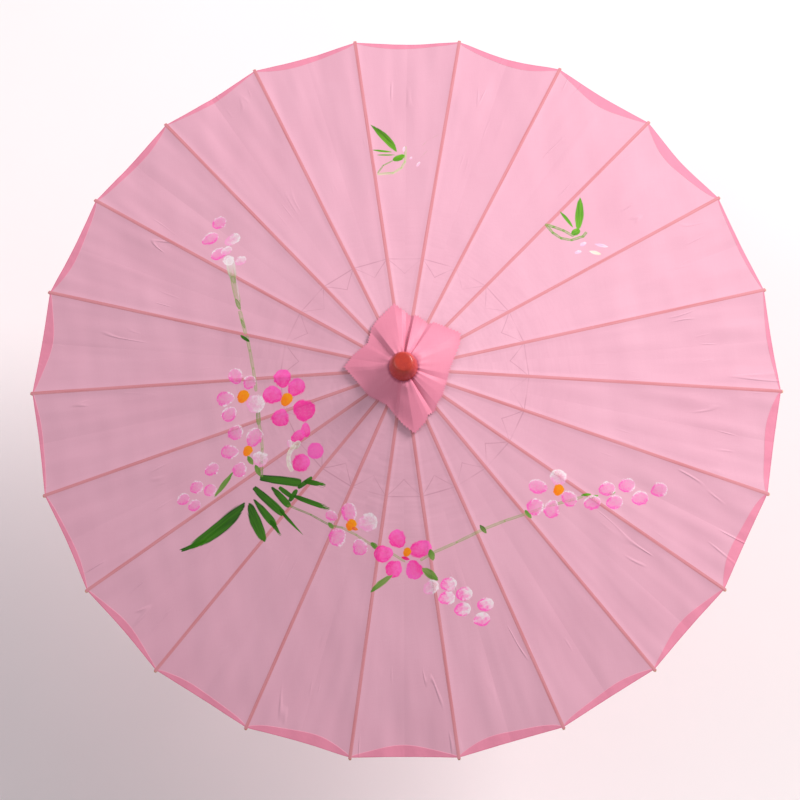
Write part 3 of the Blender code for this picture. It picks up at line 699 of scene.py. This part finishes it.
def hem_depth(rib, side, share):
    """Width of the hand-folded hem. share is 0 at the rib and 1 in the middle of the gore."""
    gore = gore_of(rib, side)
    across = share / 2 if side < 0 else 1 - share / 2
    uneven = 1 + 0.16 * math.sin(7.0 * across + 2.1 * gore)
    return (HEM_WIDTHS[gore] * math.sin(math.pi * across) ** 0.7 * uneven + 0.8) * MM


def rim_inset(rib, side, share):
    """How far the rim runs inside the straight line between two rib tips."""
    return RIM_INSETS[gore_of(rib, side)] * math.sin(math.pi / 2 * min(1.0, share)) ** 1.5 * MM


def silk_on_rib(radius):
    """Height of the silk where it is glued on a rib."""
    return rib_top(radius) + CLOTH_LIFT + HUB_LIFT * (1.0 - smooth_share(radius, *HUB_LIFT_RADII))


# Soft folds in the silk: height in metres, and radians per metre across the gore and along it.
SOFT_FOLDS = ((0.00034, 118.0, 46.0), (0.00020, 205.0, -27.0), (0.00010, 330.0, 15.0))
BAND_CROWN = 0.00015    # the glued band is this much lower at its edges
SETTLE_DEPTH, SETTLE_WIDTH = 0.00035, 0.004   # the silk drops off the rib's edge
GORE_SAG = 0.0006       # sag in the middle of a gore at the rim
WAVE_HEIGHT = 0.0005    # the one long wave of each gore, at the rim
CREASE_WIDTH = 0.004    # width of the pressed crease in the middle of a gore


def flank_height(radius, lateral, half_gore, rib, side):
    """Height of the silk over the rib line, from the rib's edge to the crease in mid-gore."""
    settle = smooth_share(lateral - BAND_HALF_WIDTH, 0.0, SETTLE_WIDTH)
    outward = (radius - CLOTH_HOLE_RADIUS) / CLOTH_WIDTH
    to_middle = smooth_share(lateral, 0.0, half_gore)
    crease = (0.00005 + 0.00022 * outward**2) * math.exp(-(half_gore - lateral) / CREASE_WIDTH)
    gore = gore_of(rib, side)
    wave = WAVE_HEIGHT * outward * math.sin(radius * 40.0 + gore * 2.4) * to_middle
    from_middle = -side * (half_gore - lateral)
    gore_looseness = 0.35 + 0.65 * math.sin(2.7 * gore + 1.0) ** 2
    looseness = outward * smooth_share(lateral, 0.0, 0.012) * gore_looseness
    folds = 0.0
    for size, pace, lean in SOFT_FOLDS:
        folds += size * math.sin(pace * from_middle + lean * radius + 0.0131 * pace * gore)
    level = -BAND_CROWN - SETTLE_DEPTH * settle - GORE_SAG * outward * to_middle
    return level - crease + wave + looseness * folds


def mesh_object(name, points, faces, body):
    mesh = bpy.data.meshes.new(name)
    mesh.from_pydata([tuple(p) for p in points], [], faces)
    mesh.shade_smooth()
    made = bpy.data.objects.new(name, mesh)
    bpy.context.scene.collection.objects.link(made)
    if body:
        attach(made, body)
    return made


def grid_faces(rows, columns, flip=False, closed=False):
    """Quads over a grid of points. They face up where rows run outwards and columns counter-clockwise."""
    faces = []
    for row in range(rows - 1):
        for column in range(columns if closed else columns - 1):
            after = (column + 1) % columns
            quad = (
                row * columns + column,
                (row + 1) * columns + column,
                (row + 1) * columns + after,
                row * columns + after,
            )
            faces.append(quad[::-1] if flip else quad)
    return faces


def write_uv(mesh, name, values):
    layer = mesh.uv_layers.new(name=name)
    corners = np.zeros(len(mesh.loops), int)
    mesh.loops.foreach_get("vertex_index", corners)
    layer.data.foreach_set("uv", np.asarray(values, float)[corners].ravel())


def write_value(mesh, name, values):
    mesh.attributes.new(name, "FLOAT", "POINT").data.foreach_set("value", np.asarray(values, float))


def smooth_share(value, start, end):
    share = min(1.0, max(0.0, (value - start) / (end - start)))
    return share * share * (3 - 2 * share)


ALONG, ACROSS, HEM_ROWS = 64, 16, 5     # steps along a flank, steps across it, rows of its hem
RADII = [CLOTH_HOLE_RADIUS + CLOTH_WIDTH * (i / ALONG) ** 0.92 for i in range(ALONG + 1)]
CLOTH_GAP = 0.00045     # the turned hem lies this far under the silk
HEM_INSIDE = 0.004      # what the hem's own rows carry as hem: well inside its edge
DRAW_IN_START = 0.33    # from this radius outwards the rim's inset draws the silk in
OUTER_PART = (0.18, 0.36)               # the slack wrinkles grow between these radii
INNER_END, INNER_FADE = 0.26, 0.14      # the wrinkles round the hub end here, and fade in this width
GORE_MAP_STEP = 0.31    # sets the ribs apart in the gore map, so that no two gores look alike
BAND_REACH = 0.004      # half the angle within which a band takes up a stroke, in radians
BAND_COLUMNS, WRAP_ROWS = 9, 3


def gore_point(rib, side, radius, share):
    """A point of the sheet. share is 0 on the rib's centre line and 1 in the middle of the gore."""
    here = direction(azimuth_of(rib)) * radius
    there = direction(azimuth_of(rib) + side * RIB_STEP) * radius
    return here + (there - here) * share / 2


def dress(made, flat, gore, chosen, glued):
    write_uv(made.data, "flat", flat)
    write_uv(made.data, "gore", gore)
    made.data.materials.append(canopy_silk(made.name, chosen, glued))
    return made


def make_flank(rib, side_name):
    side = SIDES[side_name]
    half_ratio = math.sin(RIB_STEP) / 2
    points, flat, gore = [], [], []
    carried = {name: [] for name in ("hem", "outer", "inner", "rim", "ring", "zigzag")}

    def add(radius, share, drop, hem_value):
        half_gore = radius * half_ratio
        lateral = share * half_gore
        pull = smooth_share(radius, DRAW_IN_START, CLOTH_RIM_RADIUS)
        drawn_in = radius - rim_inset(rib, side, share) * pull
        point = gore_point(rib, side, drawn_in, share)
        point[2] = silk_on_rib(drawn_in) + flank_height(radius, lateral, half_gore, rib, side) - drop
        points.append(point)
        flat.append(point[:2])
        gore.append((radius, side * lateral + rib * GORE_MAP_STEP))
        carried["hem"].append(hem_value)
        carried["outer"].append(smooth_share(radius, *OUTER_PART))
        carried["inner"].append(smooth_share(INNER_END - radius, 0.0, INNER_FADE))
        carried["rim"].append(radius - CLOTH_RIM_RADIUS)
        carried["ring"].append(radius - THREAD_RADIUS)
        carried["zigzag"].append(radius - THREAD_RADIUS + ZIGZAG_DEPTH * share)

    for radius in RADII:
        start = band_half_width(radius) / (radius * half_ratio)
        for column in range(ACROSS + 1):
            share = start + (1 - start) * column / ACROSS
            add(radius, share, 0.0, radius - CLOTH_RIM_RADIUS + hem_depth(rib, side, share))
    for row in range(1, HEM_ROWS + 1):
        for column in range(ACROSS + 1):
            start = band_half_width(CLOTH_RIM_RADIUS) / (CLOTH_RIM_RADIUS * half_ratio)
            share = start + (1 - start) * column / ACROSS
            back = hem_depth(rib, side, share) * (row - 1) / (HEM_ROWS - 1)
            add(CLOTH_RIM_RADIUS - back, share, CLOTH_GAP, HEM_INSIDE)
    faces = grid_faces(len(RADII), ACROSS + 1, flip=side < 0)
    first_hem = len(RADII) * (ACROSS + 1)
    for face in grid_faces(HEM_ROWS, ACROSS + 1, flip=side < 0):
        faces.append(tuple(index + first_hem for index in face))
    made = mesh_object(f"silk_{rib + 1:02d}_{side_name}", points, faces, body_of(rib))
    for name, values in carried.items():
        write_value(made.data, name, values)
    edge = azimuth_of(rib)
    middle = edge + side * HALF_STEP
    chosen = strokes_between(min(edge, middle), max(edge, middle))
    return dress(made, flat, gore, chosen, False)


PLEAT_ANCHOR = 0.2      # radius of the anchor, which may lie anywhere on the silk beside the rib


def pleat(piece, rib, side_name, edge=BAND_HALF_WIDTH):
    """Gives a piece beside a rib its own copy of its mesh, and works out a point edge metres from the rib's
    centre line.
    """
    side = SIDES[side_name]
    azimuth = azimuth_of(rib)
    tangent = side * direction(azimuth + math.pi / 2)
    anchor = direction(azimuth) * PLEAT_ANCHOR + tangent * edge
    anchor[2] = silk_on_rib(PLEAT_ANCHOR) - BAND_CROWN
    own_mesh(piece)


def make_band(rib):
    """The strip of silk that is glued over a rib, crowned over the rib's rounded back."""
    azimuth = azimuth_of(rib)
    out, tangent = direction(azimuth), direction(azimuth + math.pi / 2)
    points, flat, gore = [], [], []
    radii = RADII + [CLOTH_RIM_RADIUS + WRAP_LENGTH * (i + 1) / WRAP_ROWS for i in range(WRAP_ROWS)]
    for radius in radii:
        for column in range(BAND_COLUMNS):
            share = 1 - 2 * column / (BAND_COLUMNS - 1)
            lateral = share * band_half_width(radius)
            point = out * radius + tangent * lateral
            point[2] = silk_on_rib(radius) - BAND_CROWN * share * share
            points.append(point)
            flat.append(point[:2])
            gore.append((radius, lateral + rib * GORE_MAP_STEP))
    faces = grid_faces(len(radii), BAND_COLUMNS, flip=True)
    made = mesh_object(f"silk_band_{rib + 1:02d}", points, faces, body_of(rib))
    chosen = strokes_between(azimuth - BAND_REACH, azimuth + BAND_REACH)
    return dress(made, flat, gore, chosen, True)


canopy = []
for number in range(RIB_COUNT):
    canopy.append(make_band(number))
    for word in SIDES:
        flank = make_flank(number, word)
        pleat(flank, number, word)
        canopy.append(flank)
for piece in canopy:
    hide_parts("canopy_cloth")


# ---------------------------------------------------------------- ruffle
# The ruffle's outline in centimetres, and its folds as (azimuth in degrees, height in millimetres).
RUFFLE_OUTLINE = (
    (0.0, 7.8), (1.6, 6.1), (2.3, 6.0), (3.1, 5.2), (3.3, 4.9), (4.0, 5.0), (6.6, 3.5), (6.4, 2.3),
    (5.5, 0.6), (5.0, -0.3), (4.3, -2.0), (3.7, -3.3), (3.0, -4.1), (2.7, -4.8), (1.9, -5.2), (1.5, -5.9),
    (0.2, -6.9), (-0.9, -5.8), (-1.55, -4.8), (-2.3, -3.5), (-4.1, -2.2), (-5.5, 0.2), (-6.3, 1.5),
    (-5.2, 2.6), (-3.4, 3.7), (-2.75, 5.4), (-1.9, 6.3),
)
RUFFLE_FOLDS = (
    (90, 4.6), (84, 4.4), (80, 0.4), (75, 0.6), (72, 6.0), (62, 4.4), (56, 2.4), (52, 4.8), (22, 4.6),
    (-12, 4.0), (-21, 2.6), (-29, 4.0), (-54, 3.6), (-64, 1.0), (-70, 4.6), (-105, 4.8), (-110, 0.8),
    (-150, 2.6), (-188, 3.8), (-203, 2.4), (-222, 3.0), (-239, 1.8), (-246, 5.0), (-258, 4.8),
    (-270, 4.6),
)


def fold_height(degrees):
    """Height of the folds at an azimuth, in millimetres. The table's azimuths fall from 90 to -270."""
    wanted = (degrees + 270) % 360 - 270
    azimuths, values = zip(*reversed(RUFFLE_FOLDS))
    return float(np.interp(wanted, azimuths, values))


def ruffle_reach(angle):
    """Distance from the axis to the straight-sided outline of the ruffle, in metres."""
    ray = np.array([math.cos(angle), math.sin(angle)])
    for start, end in zip(RUFFLE_OUTLINE, RUFFLE_OUTLINE[1:] + RUFFLE_OUTLINE[:1]):
        start, end = np.array(start), np.array(end)
        before = ray[0] * start[1] - ray[1] * start[0]
        after = ray[0] * end[1] - ray[1] * end[0]
        if before >= 0 > after and ray @ (start + end) > 0:
            share = before / (before - after)
            return float(ray @ (start + (end - start) * share)) * CM
    raise ValueError("the outline does not close round the axis")


RUFFLE_NECK = 0.0088
SHOULDER_OUTER = 0.024
TEETH = 6 * RIB_COUNT
TOOTH_SLOPE, TOOTH_LOW = 0.0046, 0.0012     # the pinked edge: rise over half a tooth, and its level
PANEL_STEPS, PANEL_ROWS = 18, 26
SHOULDER_STEPS, SHOULDER_ROWS = 24, 12


def ruffle_point(angle, share):
    """A point of the ruffle. share is 0 at the neck, 1 at the shoulder's end, 2 at the pinked edge."""
    degrees = math.degrees(angle)
    reach = ruffle_reach(angle)
    tooth = abs((angle * TEETH / math.tau) % 1 - 0.5) * TOOTH_SLOPE
    reach += (tooth - TOOTH_LOW) * smooth_share(share, 1.88, 2.0)
    if share < 1:
        radius = RUFFLE_NECK + (SHOULDER_OUTER - RUFFLE_NECK) * share
    else:
        radius = SHOULDER_OUTER + (reach - SHOULDER_OUTER) * (share - 1)
    whole = (radius - RUFFLE_NECK) / (reach - RUFFLE_NECK)
    raised = smooth_share(whole, 0.0, 0.25) * (1 - 0.55 * smooth_share(whole, 0.5, 1.0))
    gathers = 0.0003 * math.sin(angle * 23) * (1 - whole) ** 3
    lift = 0.0011 + 0.0098 * (1 - whole) ** 2.6 + fold_height(degrees) * MM * raised + gathers
    return np.array([radius * math.cos(angle), radius * math.sin(angle), silk_over_hub(radius) + lift])


def silk_over_hub(radius):
    """Height of the canopy, carried on as a level top over the hub."""
    return silk_on_rib(max(radius, CLOTH_HOLE_RADIUS))


def ruffle_normal(angle, share):
    turn, reach = 0.004, 0.01
    sideways = ruffle_point(angle + turn, share) - ruffle_point(angle - turn, share)
    low, high = max(0.0, share - reach), min(2.0, share + reach)
    outward = ruffle_point(angle, high) - ruffle_point(angle, low)
    normal = np.cross(outward, sideways)
    return normal / np.linalg.norm(normal)


def ruffle_piece(name, angles, shares, body, silk, flip):
    """One piece of the ruffle, with the whole ruffle's normals, so that no seam shows between pieces."""
    points = [ruffle_point(angle, share) for share in shares for angle in angles]
    normals = [tuple(ruffle_normal(angle, share)) for share in shares for angle in angles]
    faces = grid_faces(len(shares), len(angles), flip=flip)
    made = mesh_object(name, points, faces, body)
    made.data.normals_split_custom_set_from_vertices(normals)
    write_uv(made.data, "flat", [point[:2] for point in points])
    made.data.materials.append(silk)
    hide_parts("ruffle")
    return made


def make_ruffle_panel(rib, side_name, silk):
    """Half of the ruffle's sector over one rib, carried on that rib's body."""
    side = SIDES[side_name]
    angles = [azimuth_of(rib) + side * HALF_STEP * step / PANEL_STEPS for step in range(PANEL_STEPS + 1)]
    shares = [1 + row / PANEL_ROWS for row in range(PANEL_ROWS + 1)]
    name = f"ruffle_{rib + 1:02d}_{side_name}"
    made = ruffle_piece(name, angles, shares, body_of(rib), silk, side < 0)
    pleat(made, rib, side_name, edge=0.0)


def make_ruffle_shoulder(rib, silk):
    """The ruffle from the neck outwards, over one rib. It slopes down from the staff towards the rib."""
    middle = azimuth_of(rib)
    centre = SHOULDER_STEPS // 2
    angles = [middle + HALF_STEP * (step - centre) / centre for step in range(SHOULDER_STEPS + 1)]
    shares = [row / SHOULDER_ROWS for row in range(SHOULDER_ROWS + 1)]
    made = ruffle_piece(f"ruffle_{rib + 1:02d}_shoulder", angles, shares, None, silk, False)
    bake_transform(made)


def ruffle_silk():
    made, nodes, shader = material(
        "ruffle_silk", Roughness=0.5, Sheen_Weight=0.12, Sheen_Roughness=0.35, Specular_IOR_Level=0.2
    )
    colour, threads = silk_ground(nodes, tone(224, 136, 160), tone(212, 112, 142))
    # Painted shade: a thin dark red ring round the neck, where the finial's shadow and the bunched folds
    # would fall.
    distance = nodes.add("ShaderNodeVectorMath", {0: nodes.uv("flat")}, out="Value", operation="LENGTH")
    colour = nodes.mix(nodes.ramp(distance, 0.0155, 0.0185, 0.65, 0.0), colour, tone(150, 48, 82))
    wire(nodes, shader, colour, None, nodes.bump(threads, 0.00008, 0.4))
    return made


RUFFLE_SILK = ruffle_silk()
for number in range(RIB_COUNT):
    make_ruffle_shoulder(number, RUFFLE_SILK)
    for word in SIDES:
        make_ruffle_panel(number, word, RUFFLE_SILK)


# ---------------------------------------------------------------- finial
def make_finial():
    """The turned cap on the staff: a drum with a soft edge, a taper and a small flat nose."""
    profile = (
        (0.0096, 0.49545), (0.0140, 0.49535), (0.0149, 0.49600), (0.01525, 0.49720), (0.0153, 0.49980),
        (0.0151, 0.50260), (0.0147, 0.50560), (0.0141, 0.50880), (0.0132, 0.51200), (0.0120, 0.51520),
        (0.0109, 0.51720), (0.0100, 0.51815), (0.0091, 0.51862), (0.0060, 0.51875), (0.0030, 0.51880),
    )
    around = 96
    points = []
    for radius, height in profile:
        for column in range(around):
            angle = math.tau * column / around
            points.append((radius * math.cos(angle), radius * math.sin(angle), height))
    faces = grid_faces(len(profile), around, flip=True, closed=True)
    faces.append(tuple(range(around))[::-1])
    faces.append(tuple(range((len(profile) - 1) * around, len(profile) * around)))
    made = mesh_object("finial_cap", points, faces, "shaft")
    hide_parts("finial")
    return made


def red_paint():
    gloss = {"Coat_Weight": 0.35, "Coat_Roughness": 0.22, "Specular_IOR_Level": 0.45}
    made, nodes, shader = material("red_paint", **gloss)
    place = nodes.place()
    grain = nodes.streaks(place, (420.0, 420.0, 60.0), 3.0, 0.6)
    cloudy = nodes.noise(place, 110.0, 3.0, 0.6)
    colour = nodes.tint(cloudy, 0.35, 0.7, 0.6, tone(188, 52, 36), tone(162, 32, 26))
    colour = nodes.tint(grain, 0.58, 0.75, 0.25, colour, tone(214, 88, 64))
    roughness = nodes.ramp(cloudy, 0.2, 0.8, 0.30, 0.46)
    wire(nodes, shader, colour, roughness, nodes.bump(grain, 0.0002, 0.25))
    return made


finial = make_finial()
finial.data.materials.append(red_paint())


# ---------------------------------------------------------------- bamboo, wood, thread and steel
def bamboo():
    """Split bamboo: long pale fibres, a skin that is a little greener, and fine dark flecks."""
    made, nodes, shader = material("bamboo", Specular_IOR_Level=0.4)
    place = nodes.place()
    broad = nodes.noise(place, 24.0, 2.0, 0.5)
    fibres = nodes.noise(place, 900.0, 3.0, 0.7)
    flecks = nodes.noise(place, 380.0, 1.0, 0.5)
    colour = nodes.mix(nodes.ramp(broad, 0.35, 0.65), tone(214, 172, 130), tone(194, 146, 104))
    colour = nodes.tint(fibres, 0.45, 0.7, 0.4, colour, tone(172, 124, 74))
    colour = nodes.tint(flecks, 0.66, 0.74, 0.5, colour, tone(120, 80, 46))
    wire(nodes, shader, colour, nodes.ramp(broad, 0.2, 0.8, 0.42, 0.6), nodes.bump(fibres, 0.0002, 0.35))
    return made


def turned_wood(name, light, dark):
    """Wood with its grain along the staff and fine pores."""
    made, nodes, shader = material(name, Specular_IOR_Level=0.4)
    place = nodes.place()
    grain = nodes.streaks(place, (260.0, 260.0, 9.0), 4.0, 0.6)
    pores = nodes.streaks(place, (1900.0, 1900.0, 90.0), 2.0, 0.6)
    colour = nodes.mix(nodes.ramp(grain, 0.3, 0.7), light, dark)
    colour = nodes.tint(pores, 0.6, 0.72, 0.35, colour, tone(96, 62, 34))
    wire(nodes, shader, colour, nodes.ramp(grain, 0.2, 0.8, 0.40, 0.58), nodes.bump(pores, 0.00015, 0.4))
    return made


def spun_thread():
    made, nodes, shader = material("thread", Roughness=0.85, Sheen_Weight=0.25)
    twist = nodes.streaks(nodes.place(), (2600.0, 2600.0, 2600.0), 1.0, 0.5)
    colour = nodes.mix(nodes.ramp(twist, 0.35, 0.65), tone(132, 96, 104), tone(92, 62, 70))
    wire(nodes, shader, colour, None, nodes.bump(twist, 0.0002, 0.5))
    return made


def drawn_steel():
    made, nodes, shader = material("steel", Metallic=1.0)
    place = nodes.place()
    lines = nodes.streaks(place, (2400.0, 2400.0, 200.0), 2.0, 0.5)
    stain = nodes.noise(place, 140.0, 3.0, 0.6)
    colour = nodes.tint(stain, 0.5, 0.75, 0.5, tone(196, 194, 190), tone(140, 128, 116))
    wire(nodes, shader, colour, nodes.ramp(stain, 0.3, 0.8, 0.26, 0.48), nodes.bump(lines, 0.0001, 0.2))
    return made


FINISH = {
    "bamboo": bamboo(),
    "hub_wood": turned_wood("hub_wood", tone(214, 172, 118), tone(184, 136, 84)),
    "staff_wood": turned_wood("staff_wood", tone(224, 188, 138), tone(198, 154, 102)),
    "thread": spun_thread(),
    "steel": drawn_steel(),
    "red_paint": finial.data.materials[0],
}


def refinish_cad_nodes():
    """Every CAD node that stays in view takes the finish that its material slot names."""
    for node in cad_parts.values():
        for place in node.material_slots:
            for slot_name, finish in FINISH.items():
                if place.material and place.material.name.startswith(slot_name):
                    place.material = finish


refinish_cad_nodes()


# ---------------------------------------------------------------- lacing
THREAD_THICKNESS = 0.0005
THREAD_CLEARANCE = 0.00003
RING_SAG = 0.0002
LACING_STEPS = 8
LACING_RISE = 0.23      # rise of the zigzag towards the hub, which is about the slope of the ribs


def tube(path, thickness, sides=6):
    """Points and faces of a thread that follows a path of points."""
    points = []
    for index, place in enumerate(path):
        along = path[min(index + 1, len(path) - 1)] - path[max(index - 1, 0)]
        along = along / np.linalg.norm(along)
        across = np.cross(along, (0.0, 0.0, 1.0))
        across = across / np.linalg.norm(across)
        upward = np.cross(across, along)
        for side in range(sides):
            angle = math.tau * side / sides
            offset = across * math.cos(angle) + upward * math.sin(angle)
            points.append(place + offset * thickness / 2)
    faces = grid_faces(len(path), sides, closed=True)
    faces.append(tuple(range(sides)))
    faces.append(tuple(range(len(points) - sides, len(points)))[::-1])
    return points, faces


def make_lacing(rib, side_name):
    """Half of the thread between two ribs: the ring through the rib pivots and one leg of the zigzag."""
    side = SIDES[side_name]
    low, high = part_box("pivot_thread")
    height = (low[2] + high[2]) / 2
    start = gore_point(rib, side, THREAD_RADIUS, 0.05)
    points, faces = [], []
    for radius, sag in ((THREAD_RADIUS, RING_SAG), (THREAD_RADIUS - ZIGZAG_DEPTH, 0.0)):
        end = gore_point(rib, side, radius, 1.0)
        path = []
        for step in range(LACING_STEPS + 1):
            share = step / LACING_STEPS
            place = start + (end - start) * share
            rise = (THREAD_RADIUS - radius) * share * LACING_RISE
            place[2] = height - sag * math.sin(math.pi * share / 2) + rise
            path.append(place)
        more_points, more_faces = tube(path, THREAD_THICKNESS)
        faces += [tuple(index + len(points) for index in face) for face in more_faces]
        points += more_points
    made = mesh_object(f"lacing_{rib + 1:02d}_{side_name}", points, faces, body_of(rib))
    made.data.materials.append(FINISH["thread"])
    pleat(made, rib, side_name, edge=BAND_HALF_WIDTH + THREAD_CLEARANCE)
    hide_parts("pivot_thread")


for number in range(RIB_COUNT):
    for word in SIDES:
        make_lacing(number, word)


# ---------------------------------------------------------------- floor
def make_floor():
    half = 30.0
    corners = [(-half, -half, 0), (half, -half, 0), (half, half, 0), (-half, half, 0)]
    mesh = bpy.data.meshes.new("floor")
    mesh.from_pydata(corners, [], [(0, 1, 2, 3)])
    floor = bpy.data.objects.new("floor", mesh)
    bpy.context.scene.collection.objects.link(floor)
    made, nodes, shader = material("floor", Roughness=0.8)
    paper = nodes.noise(nodes.place(), 3.0, 3.0, 0.5)
    wire(nodes, shader, nodes.mix(paper, tone(246, 239, 240), tone(240, 233, 234)))
    mesh.materials.append(made)


make_floor()
